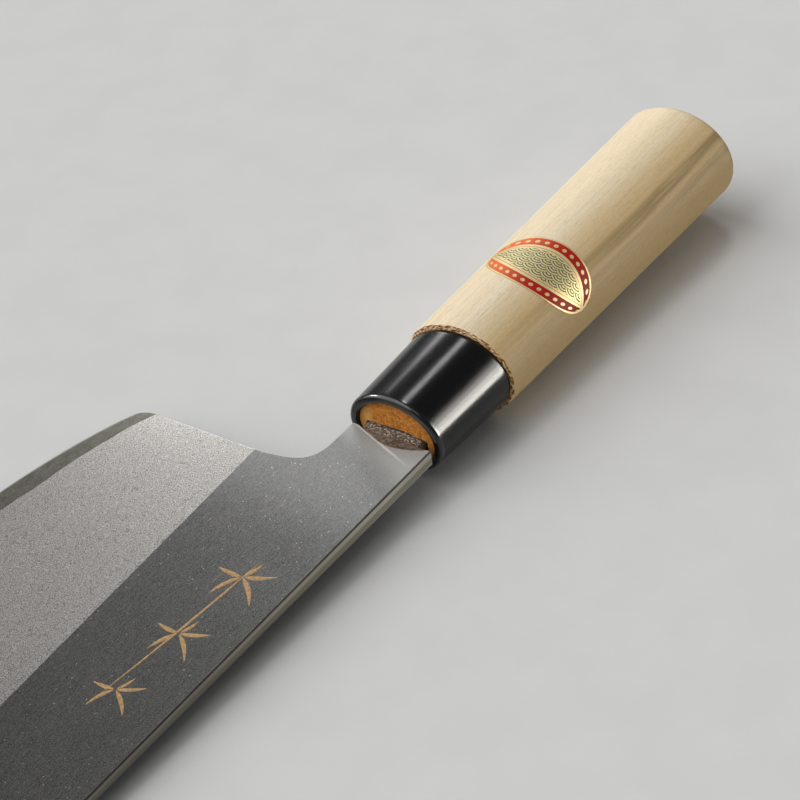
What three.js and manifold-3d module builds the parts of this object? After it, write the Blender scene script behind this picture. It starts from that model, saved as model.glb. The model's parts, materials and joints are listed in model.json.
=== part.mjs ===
// A sushi-roll knife: a wide single-bevel blade with a curved edge on an oval wooden handle.
//
// All sizes are in millimetres. The knife is drawn on its own axes: X runs from the handle to
// the toe of the blade, Y from the cutting edge to the spine, and Z out of the right-hand face,
// which carries the bevel. Zero is on the handle's axis at the front of the ferrule. The last
// lines lay the finished knife on its back, the way it comes to rest on a table.

import * as THREE from 'three';
import Module from 'manifold-3d';

const wasm = await Module();
wasm.setup();

// Handle and ferrule. Each oval section is its width along Y and its height along Z.
const handleLength = 130;
const handleFront = { width: 29.0, height: 24.2 };
const handleButt = { width: 32.2, height: 26.8 };
const buttRounding = 3.3;
const shoulderChamfer = 0.4;
const ferruleLength = 26.6;
const ferruleFront = { width: 25.7, height: 20.2 };
const ferruleRear = { width: 27.2, height: 21.4 };
const ferruleWall = 2.2;
const lipRounding = 0.9;
const mouthRounding = 0.5;
const tenonRecess = 0.9;

// Blade outline
const bladeLength = 240;
const bladeDepth = 87.3;
const heelSetback = 17.7;
const spineSide = 11.0;
const neckSide = -10.7;
const neckStart = 1.4;
const edgeRise = 25.2;
const edgeOverrun = 9.2;
const heelTop = { x: 20.0, y: -26.0 };
const heelCorner = { run: 3.2, rise: 4.9 };
const toeCorner = { run: 9, rise: 11 };
const toeShoulderRadius = 38;
const choilStart = 8.5;
const choilPull = { back: 1.2, up: 13, along: 8 };

// Blade section. The flat is parallel to the handle's axis and the back closes in on it.
const flatHeight = 0.4;
const neckThickness = 4.1;
const toeThickness = 1.5;
const ridgeAtHeel = -24.95;
const ridgeClimb = 0.0365;
const edgeLandShare = 0.04;
const spineEase = 0.45;
const wallEase = 0.25;
const easeHeight = 0.4;
const hollowDepth = 0.45;
const hollowRim = 2.4;
const hollowEnds = { heel: 5, toe: 7 };
const hollowToeDrop = 19;
const hollowFadePower = 8;

// Hard steel layer forged onto the back of the soft iron body. Its thickness is a share of the
// blade's, and grows by a further share for each millimetre from the edge.
const steelShare = 0.13;
const steelGrowth = 0.0032;
const steelTop = 5;
const weldGap = 0.02;
const weldWaves = [
  { share: 0.004, length: 17, start: 46 },
  { share: 0.004, length: 29, start: 14 },
  { share: 0.005, length: 61, start: 30 },
];

// Tang, tapering in both directions inside the handle
const tangLength = 78;
const tangFront = { width: 15.7, thickness: 3.8, offset: -0.65 };
const tangEnd = { width: 7, thickness: 2.2, offset: 0 };
const tangChamfer = 0.6;
const tangRoot = 1;
const slotSpare = 2;

// Oval foil label wrapped round the handle
const labelWidth = 30.4;
const labelLength = 18.6;
const labelCentre = -57.1;
const labelTurn = THREE.MathUtils.degToRad(18);
const labelThickness = 0.15;
const labelGap = 0.1;

// Finishes
const softIron = { color: 0x9a9995, roughness: 0.45, metalness: 1 };
const hardSteel = { color: 0x77766f, roughness: 0.35, metalness: 1 };
const paleWood = { color: 0xdcc08a, roughness: 0.6, metalness: 0 };
const blackGloss = { color: 0x0b0c0e, roughness: 0.15, metalness: 0 };
const redFoil = { color: 0xb8372a, roughness: 0.35, metalness: 0.4 };

// Fits and facets. A cutting body reaches past what it cuts, and its slopes run on past both ends
// by a share of their length.
const fitGap = 0.3;
const cutterReach = 4;
const cutterSink = 0.02;
const bevelRunOn = { ridge: 0.05, edge: 0.1 };
const ovalSides = 72;
const edgeSteps = 60;
const hollowSteps = { along: 28, across: 14 };
const roundSteps = 5;
const cornerSteps = 10;
const choilSteps = 15;
const toeShoulderSteps = 20;
const labelStrips = 32;
const labelTip = 0.06;

// Values that follow from the dimensions above
const toe = heelSetback + bladeLength;
const edgeMiddle = heelSetback + bladeLength / 2;
const edgeHalfSpan = bladeLength / 2 + edgeOverrun;
const backAtNeck = flatHeight - neckThickness;
const backClimb = (neckThickness - toeThickness) / (toe - neckStart);
const handleTaperStart = -ferruleLength - fitGap;

// Height of the back, the blade's thickness, the ridge line between flat and bevel, and the
// curved cutting edge, each at a distance along the knife
const backHeight = (x) => backAtNeck + backClimb * (x - neckStart);
const thickness = (x) => flatHeight - backHeight(x);
const ridgeSide = (x) => ridgeAtHeel + ridgeClimb * (x - heelTop.x);
const edgeSide = (x) => {
  const across = (x - edgeMiddle) / edgeHalfSpan;
  return spineSide - bladeDepth + edgeRise * (1 - Math.sqrt(1 - across * across));
};

const mix = THREE.MathUtils.lerp;
const inSteps = (from, to, steps) => Array.from({ length: steps + 1 }, (_, i) => mix(from, to, i / steps));
const point = (x, y, z) => new THREE.Vector3(x, y, z);

// Triangles over a flat ring, running the same way round as the ring does
function capFaces(ring, flatten) {
  const flat = ring.map(flatten);
  const ringArea = THREE.ShapeUtils.area(flat);
  return THREE.ShapeUtils.triangulateShape(flat, []).map(([a, b, c]) => {
    const area = THREE.ShapeUtils.area([flat[a], flat[b], flat[c]]);
    return area * ringArea > 0 ? [a, b, c] : [a, c, b];
  });
}

// Skin a row of rings into one closed body. The end rings are capped, unless the row runs
// round and joins its own start.
function skin(rings, { joinsUp = false, flatten = (p) => new THREE.Vector2(p.y, p.z) } = {}) {
  const count = rings[0].length;
  const points = rings.flat();
  const faces = [];
  const lastRow = joinsUp ? rings.length : rings.length - 1;
  for (let row = 0; row < lastRow; row += 1) {
    const here = row * count;
    const there = ((row + 1) % rings.length) * count;
    for (let i = 0; i < count; i += 1) {
      const j = (i + 1) % count;
      faces.push([here + i, here + j, there + j], [here + i, there + j, there + i]);
    }
  }
  if (!joinsUp) {
    const lastRing = (rings.length - 1) * count;
    capFaces(rings[0], flatten).forEach(([a, b, c]) => faces.push([a, c, b]));
    capFaces(rings.at(-1), flatten).forEach((face) => faces.push(face.map((i) => i + lastRing)));
  }
  const sixVolumes = faces.reduce((sum, [a, b, c]) => {
    return sum + points[a].dot(points[b].clone().cross(points[c]));
  }, 0);
  const outward = sixVolumes > 0 ? faces : faces.map(([a, b, c]) => [a, c, b]);
  const geometry = new THREE.BufferGeometry().setFromPoints(points);
  return geometry.setIndex(outward.flat());
}

// Boolean work is done on solids, and meshes take geometry
function solidOf(geometry) {
  const vertProperties = geometry.attributes.position.array;
  const triVerts = new Uint32Array(geometry.index.array);
  return new wasm.Manifold(new wasm.Mesh({ numProp: 3, vertProperties, triVerts }));
}

function geometryOf(solid) {
  const mesh = solid.getMesh();
  const geometry = new THREE.BufferGeometry();
  geometry.setAttribute('position', new THREE.BufferAttribute(mesh.vertProperties, 3));
  return geometry.setIndex(new THREE.BufferAttribute(mesh.triVerts, 1));
}

// An oval ring across the handle's axis
function ovalRing(x, halfWidth, halfHeight) {
  return Array.from({ length: ovalSides }, (_, i) => {
    const turn = (2 * Math.PI * i) / ovalSides;
    return point(x, halfWidth * Math.sin(turn), halfHeight * Math.cos(turn));
  });
}

// Oval rings whose section changes evenly from one end of a piece to the other
const ovalBetween = (front, rear, start, end) => (x, inset = 0) => {
  const along = (x - start) / (end - start);
  const halfWidth = mix(front.width, rear.width, along) / 2 - inset;
  const halfHeight = mix(front.height, rear.height, along) / 2 - inset;
  return ovalRing(x, halfWidth, halfHeight);
};

const handleOval = ovalBetween(handleFront, handleButt, handleTaperStart, -handleLength);
const ferruleOval = ovalBetween(ferruleFront, ferruleRear, 0, -ferruleLength);

// The blade's outline, as pieces with the amount by which each one's edges are eased
function outlinePieces(stations) {
  const at = (x, y) => new THREE.Vector2(x, y);
  const heel = at(heelSetback, edgeSide(heelSetback));
  const heelUp = at(heelTop.x, heelTop.y).sub(heel).normalize();
  const toePoint = at(toe, edgeSide(toe));
  const neckFoot = at(neckStart, neckSide);
  const choil = new THREE.CubicBezierCurve(
    at(heelTop.x, heelTop.y),
    at(heelTop.x - choilPull.back, heelTop.y + choilPull.up),
    at(choilStart + choilPull.along, neckSide),
    at(choilStart, neckSide),
  );
  const toeShoulder = new THREE.EllipseCurve(
    toe - toeShoulderRadius, spineSide - toeShoulderRadius,
    toeShoulderRadius, toeShoulderRadius, Math.PI / 2, 0, true,
  );
  const toeRound = new THREE.QuadraticBezierCurve(
    at(toe, toePoint.y + toeCorner.rise), toePoint, at(stations.at(-1), edgeSide(stations.at(-1))),
  );
  const heelRound = new THREE.QuadraticBezierCurve(
    at(stations[0], edgeSide(stations[0])), heel, heel.clone().addScaledVector(heelUp, heelCorner.rise),
  );
  return [
    { points: [at(neckStart, spineSide)], ease: spineEase },
    { points: toeShoulder.getPoints(toeShoulderSteps), ease: spineEase },
    { points: toeRound.getPoints(cornerSteps).slice(0, -1), ease: 0 },
    { points: stations.map((x) => at(x, edgeSide(x))).reverse(), ease: 0 },
    { points: heelRound.getPoints(cornerSteps).slice(1), ease: 0 },
    { points: choil.getPoints(choilSteps), ease: wallEase },
    { points: [neckFoot], ease: wallEase },
  ];
}

// The blade as a plate: full outline, eased along the spine and the walls
function bladePlate(stations) {
  const rim = outlinePieces(stations).flatMap(({ points, ease }) => points.map((p) => ({ p, ease })));
  const inset = rim.map(({ p, ease }, i) => {
    const before = rim.at(i - 1).p;
    const after = rim[(i + 1) % rim.length].p;
    const along = after.clone().sub(before).normalize();
    return new THREE.Vector2(p.x + along.y * ease, p.y - along.x * ease);
  });
  const full = rim.map(({ p }) => p);
  const level = (points, height) => points.map((p) => point(p.x, p.y, height(p.x)));
  const levels = [
    level(inset, backHeight),
    level(full, (x) => backHeight(x) + easeHeight),
    level(full, () => flatHeight - easeHeight),
    level(inset, () => flatHeight),
  ];
  return skin(levels, { flatten: (p) => new THREE.Vector2(p.x, p.y) });
}

// Everything above the bevel, a ruled surface from the straight ridge to the curved edge
function bevelCutter(stations) {
  const above = flatHeight + cutterReach;
  const sections = stations.map((x) => {
    const ridge = point(x, ridgeSide(x), flatHeight);
    const edge = point(x, edgeSide(x), backHeight(x) + edgeLandShare * thickness(x));
    const start = ridge.clone().lerp(edge, -bevelRunOn.ridge);
    const end = ridge.clone().lerp(edge, 1 + bevelRunOn.edge);
    return [start, end, point(x, end.y, above), point(x, start.y, above)];
  });
  return skin(sections);
}

// The shallow hollow ground into the back, deepest in the middle and fading at heel and toe
function hollowCutter() {
  const start = heelSetback + hollowEnds.heel;
  const end = toe - hollowEnds.toe;
  const sections = inSteps(start, end, hollowSteps.along).map((x) => {
    const along = (2 * x - start - end) / (end - start);
    const fade = 1 - along ** hollowFadePower;
    const low = edgeSide(x) + hollowRim;
    const high = spineSide - hollowRim - hollowToeDrop * Math.max(0, along) ** hollowFadePower;
    const arch = inSteps(-1, 1, hollowSteps.across).map((across) => {
      const rise = (hollowDepth + cutterSink) * fade * (1 - across * across) - cutterSink;
      return point(x, mix(low, high, (across + 1) / 2), backHeight(x) + rise);
    });
    const under = backHeight(x) - cutterReach;
    return [...arch, point(x, high, under), point(x, low, under)];
  });
  return skin(sections);
}

// Everything on the steel side of the weld, which runs a little wavy where the bevel bares it
function steelSide(stations, raise) {
  const sections = stations.map((x) => {
    const low = edgeSide(x) - cutterReach;
    const wave = weldWaves.reduce((sum, { share, length, start }) => {
      return sum + share * Math.sin((2 * Math.PI * (x - start)) / length);
    }, 0);
    const weld = (y) => {
      const share = steelShare + steelGrowth * (y - edgeSide(x)) + wave;
      return backHeight(x) + share * thickness(x) + raise;
    };
    const top = steelTop + raise;
    const bottom = backHeight(x) - cutterReach;
    return [point(x, low, weld(low)), point(x, top, weld(top)), point(x, top, bottom), point(x, low, bottom)];
  });
  return skin(sections);
}

// A tapering bar with chamfered corners, for the tang and for the slot that takes it
function tangBar(start, end, grow) {
  const middle = flatHeight - neckThickness / 2;
  const sections = [start, end].map((x) => {
    const along = (neckStart - x) / (neckStart + tangLength);
    const halfWidth = mix(tangFront.width, tangEnd.width, along) / 2 + grow;
    const halfThick = mix(tangFront.thickness, tangEnd.thickness, along) / 2 + grow;
    const offset = mix(tangFront.offset, tangEnd.offset, along);
    const quarter = [[halfWidth, halfThick - tangChamfer], [halfWidth - tangChamfer, halfThick]];
    return [[1, 1], [-1, 1], [-1, -1], [1, -1]].flatMap(([sideY, sideZ]) => {
      const pair = sideY * sideZ > 0 ? quarter : [...quarter].reverse();
      return pair.map(([y, z]) => point(x, offset + sideY * y, middle + sideZ * z));
    });
  });
  return skin(sections);
}

// Blade: plate, bevel, hollow back and tang, then parted along the weld
function makeBlade() {
  const stations = inSteps(heelSetback + heelCorner.run, toe - toeCorner.run, edgeSteps);
  const wide = [
    heelSetback - cutterReach, heelSetback, ...stations, toe - toeCorner.run / 2, toe, toe + cutterReach,
  ];
  const ground = solidOf(bladePlate(stations))
    .subtract(solidOf(bevelCutter(wide)))
    .subtract(solidOf(hollowCutter()));
  const tang = solidOf(tangBar(neckStart + tangRoot, -tangLength, 0));
  const blade = ground.add(tang);
  return {
    iron: geometryOf(blade.subtract(solidOf(steelSide(wide, weldGap)))),
    steel: geometryOf(blade.intersect(solidOf(steelSide(wide, 0)))),
  };
}

// Handle: a tenon that fills the ferrule, a square shoulder, an even taper and a rounded butt
function makeHandle() {
  const tenon = (x) => ferruleOval(x, ferruleWall + fitGap);
  const buttRings = inSteps(0, Math.PI / 2, roundSteps).map((turn) => {
    const x = -handleLength + buttRounding * (1 - Math.sin(turn));
    return handleOval(x, buttRounding * (1 - Math.cos(turn)));
  });
  const body = skin([
    tenon(-tenonRecess),
    tenon(handleTaperStart),
    handleOval(handleTaperStart, shoulderChamfer),
    handleOval(handleTaperStart - shoulderChamfer),
    ...buttRings,
  ]);
  const slot = tangBar(neckStart, -tangLength - slotSpare, fitGap);
  return geometryOf(solidOf(body).subtract(solidOf(slot)));
}

// Ferrule: a sleeve with a rounded front lip, open right through
function makeFerrule() {
  const quarter = inSteps(0, Math.PI / 2, roundSteps);
  const lip = quarter.map((turn) => {
    return ferruleOval(-lipRounding * (1 - Math.sin(turn)), lipRounding * (1 - Math.cos(turn)));
  });
  const mouth = quarter.map((turn) => {
    const inset = ferruleWall - mouthRounding * (1 - Math.sin(turn));
    return ferruleOval(-mouthRounding * (1 - Math.cos(turn)), inset);
  });
  const rear = [ferruleOval(-ferruleLength, ferruleWall), ferruleOval(-ferruleLength)];
  return skin([...lip, ...mouth, ...rear], { joinsUp: true });
}

// Label: a thin oval sheet that follows the handle's surface, skinned from strips along the grain
function makeLabel() {
  const meanSize = (oval) => (oval.width + oval.height) / 2;
  const meanRadius = mix(meanSize(handleFront), meanSize(handleButt), 0.5) / 2;
  const onHandle = (around, x, lift) => {
    const taper = (x - handleTaperStart) / (-handleLength - handleTaperStart);
    const halfWidth = mix(handleFront.width, handleButt.width, taper) / 2 + lift;
    const halfHeight = mix(handleFront.height, handleButt.height, taper) / 2 + lift;
    const turn = labelTurn + around / meanRadius;
    return point(x, halfWidth * Math.sin(turn), halfHeight * Math.cos(turn));
  };
  const strips = inSteps(labelTip, Math.PI - labelTip, labelStrips).map((turn) => {
    const around = (-labelWidth * Math.cos(turn)) / 2;
    const front = labelCentre + (labelLength * Math.sin(turn)) / 2;
    const rear = 2 * labelCentre - front;
    const top = labelGap + labelThickness;
    return [
      onHandle(around, front, labelGap), onHandle(around, front, top),
      onHandle(around, rear, top), onHandle(around, rear, labelGap),
    ];
  });
  return skin(strips, { flatten: (p) => new THREE.Vector2(p.x, p.z - p.y) });
}

// Each piece is one mesh with its own material
function piece(name, geometry, finish) {
  geometry.computeVertexNormals();
  const mesh = new THREE.Mesh(geometry, new THREE.MeshStandardMaterial(finish));
  mesh.name = name;
  return mesh;
}

const blade = makeBlade();
const knife = new THREE.Group();
knife.add(
  piece('blade_iron_body', blade.iron, softIron),
  piece('blade_cutting_steel', blade.steel, hardSteel),
  piece('handle', makeHandle(), paleWood),
  piece('ferrule', makeFerrule(), blackGloss),
  piece('foil_label', makeLabel(), redFoil),
);

// Lay the knife down on the handle's shoulder and the toe, with the middle of its footprint at
// the origin
const shoulder = handleTaperStart - shoulderChamfer;
knife.rotation.y = Math.atan2(handleFront.height / 2 + backHeight(toe), toe - shoulder);
const box = new THREE.Box3().setFromObject(knife, true);
const middle = box.getCenter(new THREE.Vector3());
knife.position.set(-middle.x, -middle.y, -box.min.z);

const part = new THREE.Group();
part.add(knife);

export default part;
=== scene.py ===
# %% [markdown]
# # A sushi knife on a pale table
#
# The knife has a wide laminated blade, a black ferrule, a pale wooden handle and an oval label. The packed
# solids fix its frame and its main sizes. This lesson builds the finer surfaces that a close photograph
# shows: a ground bevel with a crisp ridge, a wavy weld line, a rough forged neck and a wooden grain.

# %% Load the frame
import json
import math
from types import SimpleNamespace as Sizes

import bmesh
import bpy
import numpy as np
from mathutils import Matrix, Vector, noise


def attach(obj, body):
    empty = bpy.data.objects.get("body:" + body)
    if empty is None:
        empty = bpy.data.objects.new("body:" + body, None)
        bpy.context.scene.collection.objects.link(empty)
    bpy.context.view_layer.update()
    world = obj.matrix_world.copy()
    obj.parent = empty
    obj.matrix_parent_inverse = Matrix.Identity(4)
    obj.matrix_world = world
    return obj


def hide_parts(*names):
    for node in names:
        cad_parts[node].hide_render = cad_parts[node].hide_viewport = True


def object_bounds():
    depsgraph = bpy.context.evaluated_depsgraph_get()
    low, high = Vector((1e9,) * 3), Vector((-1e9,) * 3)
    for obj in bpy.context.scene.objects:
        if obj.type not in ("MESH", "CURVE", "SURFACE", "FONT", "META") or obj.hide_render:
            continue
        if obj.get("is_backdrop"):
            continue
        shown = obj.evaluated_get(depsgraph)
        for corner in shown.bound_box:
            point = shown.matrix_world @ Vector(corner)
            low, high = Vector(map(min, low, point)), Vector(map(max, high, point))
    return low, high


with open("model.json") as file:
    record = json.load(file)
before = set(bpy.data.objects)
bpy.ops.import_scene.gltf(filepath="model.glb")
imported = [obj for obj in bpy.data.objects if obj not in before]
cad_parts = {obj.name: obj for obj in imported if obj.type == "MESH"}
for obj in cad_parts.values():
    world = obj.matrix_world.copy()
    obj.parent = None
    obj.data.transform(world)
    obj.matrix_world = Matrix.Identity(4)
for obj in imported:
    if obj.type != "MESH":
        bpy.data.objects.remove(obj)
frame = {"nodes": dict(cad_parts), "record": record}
cad_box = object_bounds()
print("solids in the frame:", ", ".join(sorted(frame["nodes"])))

# %% [markdown]
# ## The knife's own axes
#
# The knife lies a little tilted, because its handle is thicker than its blade. Drawing on tilted axes is
# awkward, so every piece is drawn in millimetres on the knife's own axes: x runs to the toe, y to the spine
# and z out of the ground face, from the middle of the ferrule's front. Two mounts in the record, the butt of
# the handle and the flat of the blade, give those directions, and one matrix lays each piece in the frame.

# %% Axes from two mounts
MM = 0.001
HANDLE_LENGTH = 130.0

mounts = {mount["name"]: mount for mount in frame["record"]["mounts"]}
to_toe = -Vector(mounts["butt_end"]["axis"]).normalized()
off_flat = Vector(mounts["blade_flat"]["axis"]).normalized()
to_spine = off_flat.cross(to_toe)
front = Vector(mounts["butt_end"]["pos_m"]) + to_toe * HANDLE_LENGTH * MM
turn = Matrix((to_toe, to_spine, off_flat)).transposed()
knife_to_frame = Matrix.Translation(front) @ (turn * MM).to_4x4()
FLAT_HEIGHT = (Vector(mounts["blade_flat"]["pos_m"]) - front).dot(off_flat) / MM
print(f"flat of the blade lies {FLAT_HEIGHT:.2f} mm above the handle's axis")

# %% [markdown]
# ## From points to a piece
#
# Most of this knife is made of rings: ovals along a handle, slabs along a tang. A skin of quads through such
# rings is the simplest closed surface, and unlike a modifier stack it puts each point exactly where a formula
# says. The helpers here join rings, weld doubled points and mark the edges that stay crisp.

# %% Skins and clean meshes
SAME_POINT, NO_LENGTH = 0.0006, 0.0004


def ring_faces(first, second, count):
    """Quads between two rings whose points start at these numbers."""
    after = [(k + 1) % count for k in range(count)]
    return [(first + k, first + after[k], second + after[k], second + k) for k in range(count)]


def skin(rings, joins_up=False):
    """Points and faces of a closed body through rings, which ends in two tips or joins up with its start."""
    count = len(rings[0])
    points = np.concatenate(rings)
    starts = [count * n for n in range(len(rings))]
    faces = [face for a, b in zip(starts, starts[1:]) for face in ring_faces(a, b, count)]
    if joins_up:
        return points, faces + ring_faces(starts[-1], 0, count)
    tips = len(points)
    points = np.concatenate([points, [rings[0].mean(0)], [rings[-1].mean(0)]])
    for k in range(count):
        faces.append(((k + 1) % count, k, tips))
        faces.append((starts[-1] + k, starts[-1] + (k + 1) % count, tips + 1))
    return points, faces


def clean_mesh(name, points, faces):
    """A mesh in millimetres with doubled points welded and all faces turned outward."""
    mesh = bpy.data.meshes.new(name)
    mesh.from_pydata(np.asarray(points).tolist(), [], faces)
    work = bmesh.new()
    work.from_mesh(mesh)
    bmesh.ops.remove_doubles(work, verts=work.verts, dist=SAME_POINT)
    bmesh.ops.dissolve_degenerate(work, edges=work.edges, dist=NO_LENGTH)
    bmesh.ops.recalc_face_normals(work, faces=work.faces)
    if work.calc_volume(signed=True) < 0:
        bmesh.ops.reverse_faces(work, faces=work.faces)
    work.to_mesh(mesh)
    work.free()
    return mesh


print(f"points closer than {SAME_POINT} mm are welded")

# %% Lay a piece in the frame
CRISP_ANGLE = math.radians(35)


def new_object(name, data):
    made = bpy.data.objects.new(name, data)
    bpy.context.scene.collection.objects.link(made)
    return made


def lay(mesh, name, nodes=(), crisp=None):
    """Put a mesh drawn in millimetres into the frame as a piece that rides with the knife."""
    mesh.shade_smooth()
    mesh.set_sharp_from_angle(angle=CRISP_ANGLE)
    if crisp is not None:
        crisp(mesh)
    mesh.transform(knife_to_frame)
    piece = new_object(name, mesh)
    evened = piece.modifiers.new("even_shading", "WEIGHTED_NORMAL")
    evened.keep_sharp = True
    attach(piece, "root")
    if nodes:
        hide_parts(*nodes)
    print(f"{name}: {len(mesh.polygons)} faces")
    return piece


print(f"edges that turn by more than {math.degrees(CRISP_ANGLE):.0f} degrees stay crisp")

# %% [markdown]
# ## The blade's outline
#
# The cutting edge is a flat arc, the spine is straight, and a swept curve leads from the heel into the neck.
# A grinder holds the blade against the stone at one angle, so the bevel starts at a straight ridge and runs
# out to the edge as a ruled surface. The outline is cut into seven named sides, which bound two patches.

# %% Lines that shape the blade
BLADE = Sizes(neck=1.4, heel=17.7, toe=257.7, spine=11.0, under=-10.7, depth=87.3)
EDGE = Sizes(rise=25.2, middle=137.7, half=129.2, land=0.04)
NECK_THICK, TOE_THICK = 4.1, 1.5
HEEL_TOP = np.array([20.0, -26.0])
RIDGE = Sizes(heel=-24.95, climb=0.0365)


def between(first, last, share):
    """The value at this share of the way from first to last."""
    return first + (last - first) * share


def edge_side(x):
    bow = np.sqrt(np.maximum(0, 1 - ((x - EDGE.middle) / EDGE.half) ** 2))
    return BLADE.spine - BLADE.depth + EDGE.rise * (1 - bow)


def ridge_side(x):
    return RIDGE.heel + RIDGE.climb * (x - HEEL_TOP[0])


def thickness(x):
    return between(NECK_THICK, TOE_THICK, (x - BLADE.neck) / (BLADE.toe - BLADE.neck))


print(f"blade {BLADE.toe - BLADE.heel:.0f} mm long")
print(f"edge at the heel {edge_side(BLADE.heel):.1f} mm from the axis")

# %% The seven sides
HEEL_ROUND = Sizes(run=3.2, rise=4.9)
TOE_ROUND = Sizes(run=9.0, rise=11.0)
TOE_RADIUS = 38.0
CHOIL = Sizes(start=8.5, back=1.2, up=13.0, along=8.0)


def rows(*columns):
    """Points with these columns, where a single number fills its whole column."""
    return np.stack(np.broadcast_arrays(*columns), axis=1)


def pulled_curve(controls, count=80):
    """Points along a curve that is pulled towards its control points."""
    share = np.linspace(0, 1, count)[:, None]
    level = [np.repeat([np.array(c, float)], count, 0) for c in controls]
    while len(level) > 1:
        level = [a + (b - a) * share for a, b in zip(level, level[1:])]
    return level[0]


def split_at_ridge(line):
    """The part of a line before the ridge and the part after it, which share the crossing point."""
    above = line[:, 1] - ridge_side(line[:, 0])
    order = np.argsort(above)
    crossing = [np.interp(0, above[order], line[order, k]) for k in (0, 1)]
    cut = int(np.argmax(np.sign(above) != np.sign(above[0])))
    return np.vstack([line[:cut], crossing]), np.vstack([crossing, line[cut:]])


heel = np.array([BLADE.heel, edge_side(BLADE.heel)])
heel_start = heel + (HEEL_TOP - heel) / np.linalg.norm(HEEL_TOP - heel) * HEEL_ROUND.rise
toe = np.array([BLADE.toe, edge_side(BLADE.toe)])
toe_end = toe + [0, TOE_ROUND.rise]
edge_x = np.linspace(heel[0] + HEEL_ROUND.run, BLADE.toe - TOE_ROUND.run, 400)
edge_run = rows(edge_x, edge_side(edge_x))
edge_line = np.vstack([
    pulled_curve([heel_start, heel, edge_run[0]]), edge_run[1:-1], pulled_curve([edge_run[-1], toe, toe_end]),
])
arc = np.linspace(0, math.pi / 2, 120)
shoulder = np.array([BLADE.toe, BLADE.spine]) - TOE_RADIUS
toe_line = np.vstack([[toe_end], shoulder + TOE_RADIUS * rows(np.cos(arc), np.sin(arc))])
choil = pulled_curve([
    HEEL_TOP, HEEL_TOP + [-CHOIL.back, CHOIL.up],
    (CHOIL.start + CHOIL.along, BLADE.under), (CHOIL.start, BLADE.under),
])
heel_line = np.vstack([[heel_start], choil, [(BLADE.neck, BLADE.under)]])
toe_low, toe_high = split_at_ridge(toe_line)
heel_low, heel_high = split_at_ridge(heel_line)
print("ridge runs from", heel_high[0].round(1), "to", toe_low[-1].round(1))

# %% [markdown]
# ## A plan grid for the blade
#
# A blade could be a filled polygon, but a filled polygon has long thin faces that cannot follow a hollow back
# or a rough neck. Two four-sided patches, one for the bevel and one for the flat, share the ridge as a row of
# points, so the ridge stays perfectly straight. Each patch is blended from the four lines that bound it.
# The rim is eased as a stone leaves it, so the patches are bounded by the outline drawn in by that easing.

# %% Sample the outline
COUNTS = Sizes(edge=200, bevel_rows=26, flat_rows=38, swept=70)
SPINE_TURN = 28.0
EVEN_SHARE, CROWDING = 0.45, 1.6


def walk(line, shares):
    """Points at these shares of a line's length."""
    run = np.r_[0, np.cumsum(np.hypot(*np.diff(line, axis=0).T))]
    return rows(*(np.interp(shares * run[-1], run, column) for column in line.T))


even = np.linspace(0, 1, COUNTS.edge)
along_edge = EVEN_SHARE * even + (1 - EVEN_SHARE) * even**CROWDING
spine_x = np.r_[
    np.linspace(BLADE.neck, SPINE_TURN, COUNTS.swept)[:-1],
    between(SPINE_TURN, shoulder[0], along_edge),
]
bevel_rows = np.linspace(0, 1, COUNTS.bevel_rows)
flat_rows = np.linspace(0, 1, COUNTS.flat_rows)
neck_y = between(BLADE.spine, BLADE.under, flat_rows)
sides = {
    "edge": walk(edge_line, along_edge),
    "toe_low": walk(toe_low, bevel_rows),
    "toe_high": walk(toe_high, flat_rows),
    "spine": rows(spine_x[::-1], BLADE.spine),
    "neck": rows(BLADE.neck, neck_y),
    "swept": walk(heel_high[::-1], np.linspace(0, 1, COUNTS.swept)),
    "heel": walk(heel_low[::-1], bevel_rows),
}
outline = np.concatenate([line[:-1] for line in sides.values()])
print("outline sampled at", len(outline), "points")

# %% Draw the rim in
EASES = {
    "edge": 0.0, "toe_low": 0.25, "toe_high": 0.3, "spine": 0.45, "neck": 0.3, "swept": 0.28, "heel": 0.15,
}


def running_mean(values, reach=3):
    return sum(np.roll(values, k) for k in range(-reach, reach + 1)) / (2 * reach + 1)


tangent = np.roll(outline, -1, 0) - np.roll(outline, 1, 0)
outward = rows(tangent[:, 1], -tangent[:, 0])
outward /= np.linalg.norm(outward, axis=1)[:, None]
ease = np.concatenate([np.full(len(line) - 1, EASES[name]) for name, line in sides.items()])
ease = np.where(ease == 0, 0, running_mean(ease))
drawn_in = outline - outward * ease[:, None]

inner, begin = {}, 0
for name, line in sides.items():
    inner[name] = drawn_in[np.arange(begin, begin + len(line)) % len(drawn_in)]
    begin += len(line) - 1
print(f"rim eased by up to {ease.max():.2f} mm")

# %% Fill the patches
def fill(low, high, start, end, s, t):
    """A patch of points between four lines, with s along low and high and t along start and end."""
    s, t = s[:, None, None], t[None, :, None]
    low, high, start, end = low[:, None], high[:, None], start[None], end[None]
    corners = (1 - s) * ((1 - t) * low[:1] + t * high[:1]) + s * ((1 - t) * low[-1:] + t * high[-1:])
    return (1 - t) * low + t * high + (1 - s) * start + s * end - corners


ridge_x = between(inner["swept"][-1][0], inner["toe_low"][-1][0], along_edge)
ridge = rows(ridge_x, ridge_side(ridge_x))
ridge[0], ridge[-1] = inner["swept"][-1], inner["toe_low"][-1]
bevel_patch = fill(inner["edge"], ridge, inner["heel"][::-1], inner["toe_low"], along_edge, bevel_rows)
flat_low = np.vstack([inner["swept"][:-1], ridge])
flat_s = (spine_x - spine_x[0]) / (spine_x[-1] - spine_x[0])
flat_patch = fill(flat_low, inner["spine"][::-1], inner["neck"][::-1], inner["toe_high"], flat_s, flat_rows)
print("bevel patch", bevel_patch.shape[:2], "and flat patch", flat_patch.shape[:2])

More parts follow.
